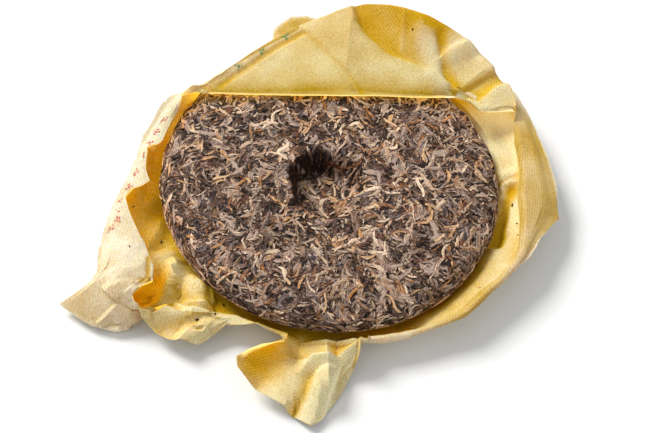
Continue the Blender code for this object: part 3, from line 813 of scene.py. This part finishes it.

# Dents and ridges that cross the lines above: the layer they are on, how far they reach to the
# left and right of their run, how high they stand, how much painted shade they add (below 0, painted
# light), and their run.
DENTS = (
    (2, 24.0, 3.0, -4.6, 0.18, ((0.2, 113.5), (5.0, 104.5), (11.5, 98.2), (23.7, 90.0), (39.6, 85.0),
                                (55.3, 80.8), (66.3, 74.0))),
    (2, 2.4, 2.4, -1.2, 0.12, ((-26.1, 92.6), (-14.8, 81.7), (-3.3, 72.6), (10.6, 59.7))),
    (2, 4.5, 12.0, 1.4, -0.45, ((46.6, 103.5), (49.5, 99.5), (52.3, 91.4), (55.5, 81.1), (60.6, 72.4))),
    (2, 6.0, 3.5, -1.4, 0.35, ((54.0, 103.0), (57.4, 91.8), (60.6, 81.8), (65.8, 72.8))),
    (2, 3.0, 9.0, 2.0, -0.10, ((58.7, 93.4), (71.0, 103.4))),
    (2, 9.0, 6.0, -3.6, 0.45, ((79.0, 69.5), (83.5, 74.5), (89.2, 81.0), (95.0, 85.0))),
    (2, 2.0, 2.0, 0.5, -0.15, ((30.2, 115.6), (31.2, 90.4))),
    (0, 8.0, 12.0, 5.0, -0.25, ((-95.8, -63.7), (-85.2, -59.1), (-67.0, -75.7), (-63.8, -77.1))),
    (0, 7.0, 5.0, 3.2, 0.0, ((-82.9, -65.0), (-82.6, -82.5))),
    (0, 7.0, 12.0, 5.2, -0.25, ((-63.7, -77.7), (-58.4, -101.9))),
    (0, 9.0, 4.5, 4.6, 0.0, ((-84.4, -72.7), (-85.3, -91.6), (-93.9, -99.6))),
    (0, 5.0, 8.0, 2.6, 0.0, ((-93.7, -36.8), (-99.3, -54.8))),
    (2, 3.0, 15.0, 3.4, 0.05, ((-124.5, -101.8), (-118.4, -97.8), (-111.9, -93.8), (-103.9, -91.1))),
    (2, 5.0, 4.0, 0.9, 0.10, ((-117.7, -52.6), (-100.5, -64.7))),
    (2, 3.0, 3.0, 0.6, 0.0, ((-101.0, -94.7), (-97.3, -75.6))),
    (2, 1.8, 1.8, -0.8, 1.20, ((-94.9, -73.4), (-92.6, -86.3), (-96.5, -88.6))),
    (0, 4.5, 18.0, 5.5, -0.20, ((9.6, -116.2), (4.0, -120.6), (-1.1, -125.4),
                                (-2.3, -136.0), (-10.6, -152.4))),
    (2, 4.5, 18.0, 5.5, -0.20, ((9.6, -116.2), (4.0, -120.6), (-1.1, -125.4),
                                (-2.3, -136.0), (-10.6, -152.4))),
    (2, 4.5, 3.0, -1.5, 0.45, ((10.7, -119.6), (5.0, -126.0), (2.0, -137.0),
                               (-5.0, -151.5))),
    (0, 6.0, 13.0, 4.0, -0.45, ((24.4, -106.5), (21.3, -110.8), (13.3, -122.8),
                               (11.2, -135.7), (9.9, -145.9), (7.4, -155.5))),
    (2, 6.0, 12.0, 4.5, -0.35, ((27.4, -100.8), (21.3, -110.8), (13.3, -122.8),
                               (11.2, -135.7), (9.9, -145.9), (7.4, -155.5))),
    (2, 2.5, 2.5, -0.9, 0.35, ((-73.4, 47.7), (-61.9, 59.7), (-51.0, 72.9), (-42.2, 82.9), (-33.0, 90.7),
                               (-28.7, 93.7))),
    (0, 5.0, 7.0, -2.6, 0.15, ((95.8, 50.0), (104.1, 32.5))),
    (0, 2.0, 2.0, -1.0, 0.30, ((96.4, 17.4), (109.3, 24.5))),
    (0, 6.0, 4.5, -4.6, 1.00, ((107.0, 15.0), (104.0, 5.0), (100.5, -22.0))),
)
# Spots of painted shade on the sheet, and of painted light where below 0:
# the layer, the middle, how far and how much.
SHADE_SPOTS = (
    (2, (28.0, 112.0), 30.0, 0.42), (2, (52.0, 110.0), 22.0, 0.36), (2, (4.0, 112.0), 12.0, 0.2),
    (2, (34.0, 126.0), 16.0, 1.1), (1, (34.0, 124.0), 20.0, 1.0), (2, (52.0, 118.0), 12.0, 0.9),
    (2, (64.0, 93.0), 12.0, -0.35),
    (0, (-96.0, -88.0), 16.0, 0.8), (0, (-104.0, -35.0), 18.0, 0.12), (0, (-26.0, -124.0), 20.0, 0.6),
    (2, (-26.0, -124.0), 20.0, 0.6), (2, (122.0, 0.0), 60.0, 0.55), (2, (115.0, 50.0), 30.0, 0.5),
    (1, (126.0, 0.0), 60.0, 0.7), (1, (115.0, 50.0), 30.0, 0.7), (1, (88.0, -80.0), 40.0, 0.3),
    (0, (-60.0, -87.0), 16.0, 0.45), (0, (96.0, 55.0), 34.0, -1.0), (0, (106.0, 0.0), 30.0, -0.6),
    (0, (82.0, -68.0), 36.0, 0.1), (1, (-38.0, 117.0), 24.0, 1.2), (2, (-117.0, -104.0), 22.0, 0.25),
    (1, (-125.0, -104.0), 26.0, 0.25), (2, (45.0, 97.0), 9.0, -0.3), (2, (100.0, 76.0), 9.0, -0.3),
    (0, (22.0, -108.0), 14.0, -0.6), (2, (16.0, -122.0), 14.0, -0.4), (2, (-10.0, 85.0), 75.0, 0.24),
    (1, (86.0, -70.0), 36.0, 0.4), (2, (86.0, -70.0), 36.0, 0.45),
    (0, (-100.0, 38.0), 22.0, -0.8), (0, (-107.0, 6.0), 26.0, -0.1),
)
# How far the far flap stands off the sheet below it, near the fold and away from it.
PUFF = 2.8
PUFF_REACH = 5.0
PUFF_FADE = 60.0
# Painted shade along the far fold, where the sheet rolls down away from the lamp.
FOLD_SHADE = 0.65
FOLD_SHADE_REACH = 6.0


def beside(run_points, places):
    """Distance of places from a run of points seen from above, above 0 to the left of it."""
    best = np.full(len(places), np.inf)
    side = np.ones(len(places))
    for start, end in zip(run_points, run_points[1:]):
        way = np.subtract(end, start)
        off = places[:, :2] - start
        share = np.clip(off @ way / (way @ way), 0.0, 1.0)
        gap = np.linalg.norm(off - share[:, None] * way, axis=1)
        nearer = gap < best
        best = np.where(nearer, gap, best)
        side = np.where(nearer, np.sign(way[0] * off[:, 1] - way[1] * off[:, 0]), side)
    return best * side


# The sheet starts as a grid, a column for each bearing and a row for each step out from the
# middle, and every spot of it is carried to its place on the folds.
bearings = columns()
sections = [section(bearing) for bearing in bearings]
row_count = len(sections[0][0])
places = np.array([points for points, _ in sections])
layers = np.array([marks for _, marks in sections]).ravel()
bm = bmesh.new()
shade_offset_layer = bm.verts.layers.float.new("shade_offset")
bmesh.ops.create_grid(bm, x_segments=len(bearings) - 1, y_segments=row_count - 1, size=1.0)
bm.verts.index_update()
spots = [None] * (len(bearings) * row_count)
grid_place = {}
for spot in bm.verts:
    column = round((spot.co.x + 1.0) / 2.0 * (len(bearings) - 1))
    row = round((spot.co.y + 1.0) / 2.0 * (row_count - 1))
    grid_place[spot.index] = (column, row)
    spots[column * row_count + row] = spot
    spot.co = places[column, row]
bmesh.ops.reverse_faces(bm, faces=bm.faces)
bm.normal_update()
# The first and the last column are the same line.
normals = np.array([spot.normal[:] for spot in spots])
normals[-row_count:] = normals[:row_count]

# Then it is dented, given its painted shade, puffed up along the far fold and crumpled.
flat_places = places.reshape(-1, 3)
flat_bearings = np.repeat(bearings, row_count)
height = np.zeros(len(flat_places))
shade_offset = np.zeros(len(flat_places))
for layer, left, right_reach, rise, painted_shade, run_points in DENTS:
    gap = beside(run_points, flat_places)
    share = np.clip(1.0 - np.where(gap > 0.0, gap / left, -gap / right_reach), 0.0, 1.0) * (layers == layer)
    share = share * (1.5 - 0.5 * share)
    height += rise * share
    shade_offset += painted_shade * share
for layer, middle, reach, painted_shade in SHADE_SPOTS:
    gap = np.hypot(*(flat_places[:, :2] - middle).T)
    shade_offset += painted_shade * np.exp(-2.0 * (gap / reach) ** 2) * (layers == layer)
fold_angle = math.radians(FAR_FOLD_BEARING)
past_fold = flat_places[:, :2] @ (math.cos(fold_angle), math.sin(fold_angle)) - FAR_FOLD_OFFSET
far_flap = (layers > 0) & (flat_bearings > FAR_FOLD_FROM) & (flat_bearings < FAR_FOLD_TO)
puffed = PUFF * (1.0 - np.exp(-np.maximum(past_fold, 0.0) / PUFF_REACH)) * (far_flap & (layers == 2))
puffed *= np.exp(-past_fold / PUFF_FADE)
shade_offset += FOLD_SHADE * np.exp(-np.maximum(past_fold, 0.0) / FOLD_SHADE_REACH) * far_flap
# Where a layer is turned over, its dents and ridges still go down and up.
skyward = np.where((layers > 0) & (normals[:, 2] < 0.0), -1.0, 1.0)
for number, spot in enumerate(spots):
    x, y = flat_places[number, :2]
    shift = height[number] * skyward[number]
    shift += crumple(x, y, flat_bearings[number], int(layers[number]))
    spot.co += Vector(normals[number]) * shift
    spot.co.z = max(spot.co.z + puffed[number], PAPER_THICKNESS / 2)
    spot[shade_offset_layer] = shade_offset[number]

# The laid lines run one way over the sheet, and turn over with it at each fold: the flap's lowest
# layer, the bearings it runs from and to, and the way of its lines.
LINES_UNDER = 25.0
LINES = ((0, -103.0, -71.0, 125.0), (1, 44.0, 153.0, 45.0), (1, -60.0, 44.0, 0.0))
# The far flap's left border takes the outer paper, so that an outer face shows along it as if turned over.
HEM_FROM = 108.0
HEM_TO = 147.0
HEM_ROWS = 3

travel = np.linalg.norm(np.diff(places, axis=1), axis=2)
travel = np.concatenate([np.zeros((len(bearings), 1)), np.cumsum(travel, axis=1)], axis=1)
sheet_map = bm.loops.layers.uv.new("laid_lines")
for face in bm.faces:
    cells = [grid_place[spot.index] for spot in face.verts]
    bearing = bearings[min(column for column, _ in cells)]
    layer = layers[max(row for _, row in cells)]
    turn = next((way for lowest, start, end, way in LINES
                 if layer >= lowest and start < bearing < end), LINES_UNDER)
    cosine, sine = math.cos(math.radians(turn)), math.sin(math.radians(turn))
    for loop in face.loops:
        x, y, _ = loop.vert.co
        if layer == 0:
            column, row = grid_place[loop.vert.index]
            angle = math.radians(bearings[column])
            x, y = travel[column, row] * math.cos(angle), travel[column, row] * math.sin(angle)
        loop[sheet_map].uv = (x * cosine + y * sine, y * cosine - x * sine)
    if HEM_FROM < bearing < HEM_TO and min(row for _, row in cells) >= row_count - 1 - HEM_ROWS:
        face.material_index = 1
bmesh.ops.remove_doubles(bm, verts=bm.verts, dist=0.002)
bm.normal_update()

# How shut in each spot is on either face, which sets its painted shade, the deep yellow that
# stands for light bouncing in the folds; and a painted glow for how much of the lamp's light
# falls on its other face and comes through, deep yellow or pale.
SHUT_IN_REACH = 45.0
GLOW_OPEN = 0.15
# The painted glow is deep yellow only to the left of this, and pale to the right.
PALE_FROM = 62.0
# The rays that look for the sky stand on a spiral, and start a little off the paper.
RAYS = 20
RAY_TURN = 2.4
RAY_LOWEST = 0.08
RAY_LIFT = 0.4

spiral = np.arange(RAYS) + 0.5
ray_height = 1.0 - (1.0 - RAY_LOWEST) * spiral / RAYS
ray_out = np.sqrt(1.0 - ray_height ** 2)
rays = [Vector((out * math.cos(RAY_TURN * step), out * math.sin(RAY_TURN * step), high))
        for step, out, high in zip(spiral, ray_out, ray_height)]
bm.faces.ensure_lookup_table()
paper_tree = BVHTree.FromBMesh(bm)
core_tree = BVHTree.FromPolygons([spot.co / MM for spot in core.data.vertices],
                                 [tuple(face.vertices) for face in core.data.polygons])


def shut_in(place, normal):
    """Share of the sky over a face that paper or tea hides from it."""
    start = place + normal * RAY_LIFT
    aim = normal.to_track_quat("Z", "Y")
    hidden = 0.0
    for ray in rays:
        way = aim @ ray
        if (paper_tree.ray_cast(start, way, SHUT_IN_REACH)[0] is not None
                or core_tree.ray_cast(start, way, SHUT_IN_REACH)[0] is not None):
            hidden += ray.z
    return hidden / sum(ray.z for ray in rays)


through_layer = bm.verts.layers.float.new("through")
deep_glow_layer = bm.verts.layers.float.new("deep_glow")
painted_shade_layer = bm.verts.layers.float.new("painted_shade")
outer_shade_layer = bm.verts.layers.float.new("painted_shade_outside")
for spot in bm.verts:
    covered = shut_in(spot.co, spot.normal)
    # Painted shade: how shut in the spot is, plus the painted spots, dents and fold marks above.
    spot[painted_shade_layer] = covered + spot[shade_offset_layer]
    # Painted light: a glow from the lamp's way on the other face, times the painted shade.
    glow_share = min(1.0, max(GLOW_OPEN, spot[painted_shade_layer]))
    spot[through_layer] = max(0.0, -spot.normal.dot(KEY_FROM)) * glow_share
    spot[deep_glow_layer] = covered * (spot.co.x < PALE_FROM)
    spot[outer_shade_layer] = shut_in(spot.co, -spot.normal) + spot[shade_offset_layer]

# Thin laid paper: fine ribs, fibres and clouds, a deep yellow where it is shut in, which is painted
# shade, duller where worn and where that painted shade runs deepest, and here and there a dark fleck.
SHADE_FROM = -0.20
SHADE_TO = 0.85
DEEP_SHADE_FROM = 1.0
DEEP_SHADE_TO = 1.7
DEEP_SHADE_DULL = 1.1
DULLED = (0.66, 0.56, 0.34)
FLECK = (0.10, 0.05, 0.02)
PAPER_RELIEF = 0.10

laid_paper, given, result = new_group(
    "laid_paper", (("Vector", "Sheet"), ("Float", "Painted shade"), ("Color", "Open"), ("Color", "Shut")),
    (("Color", "Color"), ("Float", "Height")))
nodes, links = laid_paper.nodes, laid_paper.links
ribs = nodes.new("ShaderNodeTexWave")
ribs.inputs["Scale"].default_value = 0.21
ribs.inputs["Distortion"].default_value = 0.8
ribs.inputs["Detail"].default_value = 1.0
ribs.inputs["Detail Scale"].default_value = 0.3
links.new(given.outputs["Sheet"], ribs.inputs["Vector"])
rib = ribs.outputs["Fac"]
fibre = noise_node(nodes, links, given.outputs["Sheet"], 0.75, 5.0, 0.7).outputs["Fac"]
cloud = noise_node(nodes, links, given.outputs["Sheet"], 0.06, 2.0, 0.5).outputs["Fac"]
uneven = weighed(nodes, links, -0.54, (rib, 0.14), (fibre, 0.45), (cloud, 0.5))
deep = remap_node(nodes, links, given.outputs["Painted shade"], SHADE_FROM, SHADE_TO)
shade_level = weighed(nodes, links, uneven, (deep, 1.0))
paper = mix_node(nodes, links, shade_level, given.outputs["Open"], given.outputs["Shut"])
# Where the painted shade runs deepest the paper is dulled as well: painted shade.
deep_shade = remap_node(nodes, links, given.outputs["Painted shade"], DEEP_SHADE_FROM, DEEP_SHADE_TO)
dull_share = weighed(nodes, links, -1.17, (rib, 0.14), (fibre, 1.9), (cloud, 0.9), (deep_shade, DEEP_SHADE_DULL))
dulled = mix_node(nodes, links, dull_share, paper, DULLED, "MULTIPLY")
off, chances = cell_node(nodes, links, given.outputs["Sheet"], 0.11)
fleck_size = weighed(nodes, links, -0.17, (chances["Red"], 0.26))
flecked = math_node(nodes, links, "LESS_THAN", off, fleck_size)
links.new(mix_node(nodes, links, flecked, dulled, FLECK), result.inputs["Color"])
links.new(weighed(nodes, links, fibre, (rib, 0.4)), result.inputs["Height"])


def paper_material(name, shade_name, open_colour, shut_colour):
    """One face of the sheet, thin enough for light to glow through it."""
    material, nodes, links, shader = new_material(name, 0.8)
    shader.inputs["Specular IOR Level"].default_value = 0.08
    shader.inputs["Subsurface Weight"].default_value = 0.6
    shader.inputs["Subsurface Radius"].default_value = (1.0, 0.62, 0.16)
    shader.inputs["Subsurface Scale"].default_value = 0.5 * MM
    flat = nodes.new("ShaderNodeUVMap")
    flat.uv_map = "laid_lines"
    face = nodes.new("ShaderNodeGroup")
    face.node_tree = laid_paper
    links.new(flat.outputs["UV"], face.inputs["Sheet"])
    links.new(attribute_node(nodes, shade_name), face.inputs["Painted shade"])
    face.inputs["Open"].default_value = (*open_colour, 1.0)
    face.inputs["Shut"].default_value = (*shut_colour, 1.0)
    links.new(face.outputs["Color"], shader.inputs["Base Color"])
    bump_node(nodes, links, shader, face.outputs["Height"], PAPER_RELIEF)
    return material, nodes, links, shader


# The inner face also glows, a painted light: an emission that stands for the lamp's light shining through
# the sheet.
GLOW_PALE = (0.92, 0.86, 0.58)
GLOW_DEEP = (1.0, 0.66, 0.0)
GLOW_STRENGTH = 1.6
PAPER_SHARPNESS = 22

inner_paper, nodes, links, shader = paper_material(
    "inner_paper", "painted_shade", (0.86, 0.75, 0.47), (0.70, 0.445, 0.008))
# Painted light: the inner face glows by emission, deep yellow or pale.
glow = mix_node(nodes, links, attribute_node(nodes, "deep_glow"), GLOW_PALE, GLOW_DEEP)
glow = mix_node(nodes, links, attribute_node(nodes, "through"), (0.0, 0.0, 0.0), glow)
links.new(glow, shader.inputs["Emission Color"])
shader.inputs["Emission Strength"].default_value = GLOW_STRENGTH
outer_paper = paper_material("outer_paper", "painted_shade_outside", (0.82, 0.76, 0.59), (0.63, 0.44, 0.10))[0]
wrapper = finish_piece(bm, "wrapper_sheet", [inner_paper, outer_paper], "paper_wrapper")
shell = wrapper.modifiers.new("thickness", "SOLIDIFY")
shell.thickness = PAPER_THICKNESS * MM
shell.offset = 0.0
shell.material_offset = 1
wrapper.data.polygons.foreach_set("use_smooth", [True] * len(wrapper.data.polygons))
wrapper.data.set_sharp_from_angle(angle=math.radians(PAPER_SHARPNESS))

# The print: faded red and green ink on the outer face, which shows where a border of the sheet is
# turned over. It is laid on as plain clusters of lozenges, a little off the paper. A lozenge that
# would reach from one layer down to the next is left out.
INK_RAISE = 0.24
INK_STEP = 3.0
INK_WORN = (0.66, 0.50, 0.34)
MARK_TURN = 35.0
# The two kinds of cluster: the place and the size of each lozenge.
BLOSSOM = ((0.0, 0.0, 2.3), (1.8, 0.2, 1.9), (-1.7, 0.5, 1.8), (0.3, 1.8, 1.8), (-0.2, -1.8, 2.0))
SPRIG = ((-1.9, -1.0, 1.9), (-0.7, 0.4, 2.2), (0.9, -0.6, 2.0), (2.0, 0.9, 2.1), (0.2, 1.9, 1.7))
RED_MARKS = ((-120.4, -52.0), (-116.9, -47.6), (-118.6, -40.5), (-117.6, -31.0), (-115.6, -22.0),
             (-113.4, -12.4), (-110.8, -2.4), (-108.6, 6.6), (-106.4, 15.2), (-103.6, 24.0))
GREEN_BEARINGS = (114.0, 124.5, 136.0)
GREEN_INSET = 2.4


def print_marks(name, ink, marks):
    """Clusters of lozenges laid on the sheet, each at a place and turned by an angle."""
    material, nodes, links, shader = new_material(name, 0.8)
    place = nodes.new("ShaderNodeTexCoord")
    dull_share = noise_node(nodes, links, place.outputs["Object"], 900.0, 2.0).outputs["Fac"]
    dull_share = remap_node(nodes, links, dull_share, 0.45, 0.75)
    links.new(mix_node(nodes, links, dull_share, ink, INK_WORN), shader.inputs["Base Color"])
    bm = bmesh.new()
    for number, (x, y, turn) in enumerate(marks):
        way = Matrix.Rotation(math.radians(turn + MARK_TURN * number), 2)
        for off_x, off_y, wide in (BLOSSOM, SPRIG)[number % 2]:
            corners = []
            for half_x, half_y in ((-0.6, 0.0), (0.0, -0.4), (0.6, 0.0), (0.0, 0.4)):
                spot = Vector((x, y)) + way @ Vector((off_x + half_x * wide, off_y + half_y * wide))
                corners.append(drop(paper_tree, spot.x, spot.y) + Vector((0.0, 0.0, INK_RAISE)))
            heights = [spot.z for spot in corners]
            if max(heights) - min(heights) < INK_STEP:
                bm.faces.new([bm.verts.new(spot) for spot in corners])
    bmesh.ops.recalc_face_normals(bm, faces=bm.faces)
    finish_piece(bm, name, [material], "paper_wrapper")


print_marks("red_print", (0.52, 0.06, 0.03), [(x, y, 64.0) for x, y in RED_MARKS])
green_marks = []
for bearing in GREEN_BEARINGS:
    spot = corner(EDGE, bearing)
    spot -= spot.normalized() * GREEN_INSET
    green_marks.append((spot.x, spot.y, 40.0))
print_marks("green_print", (0.10, 0.26, 0.07), green_marks)

# The crumbs: small scraps of the round that broke off as it was unwrapped, and lie loose in the
# paper. Each has its place, its way and its length.
CRUMBS = ((-62.4, -101.3, 20, 2.6), (-53.0, -97.1, 75, 1.8), (-49.9, -84.1, 130, 2.2),
          (-24.2, -98.9, 10, 1.6), (-92.1, -48.5, 60, 1.8), (-106.7, -66.8, 100, 1.5),
          (-111.8, -30.7, 40, 1.4), (109.0, 6.0, 80, 2.4), (112.0, -8.0, 15, 1.3))
CRUMB_LEVEL = 0.5
CRUMB_WIDTH = 0.5
CRUMB_HEIGHT = 0.9

bm = bmesh.new()
for x, y, turn, length in CRUMBS:
    way = Matrix.Translation(drop(paper_tree, x, y) + Vector((0.0, 0.0, CRUMB_LEVEL)))
    way @= Matrix.Rotation(math.radians(turn), 4, "Z")
    way @= Matrix.Diagonal((length, length * CRUMB_WIDTH, CRUMB_HEIGHT, 1.0))
    bmesh.ops.create_icosphere(bm, subdivisions=2, radius=0.5, matrix=way)
finish_piece(bm, "crumbs", [core.data.materials[0]], "tea_cake")
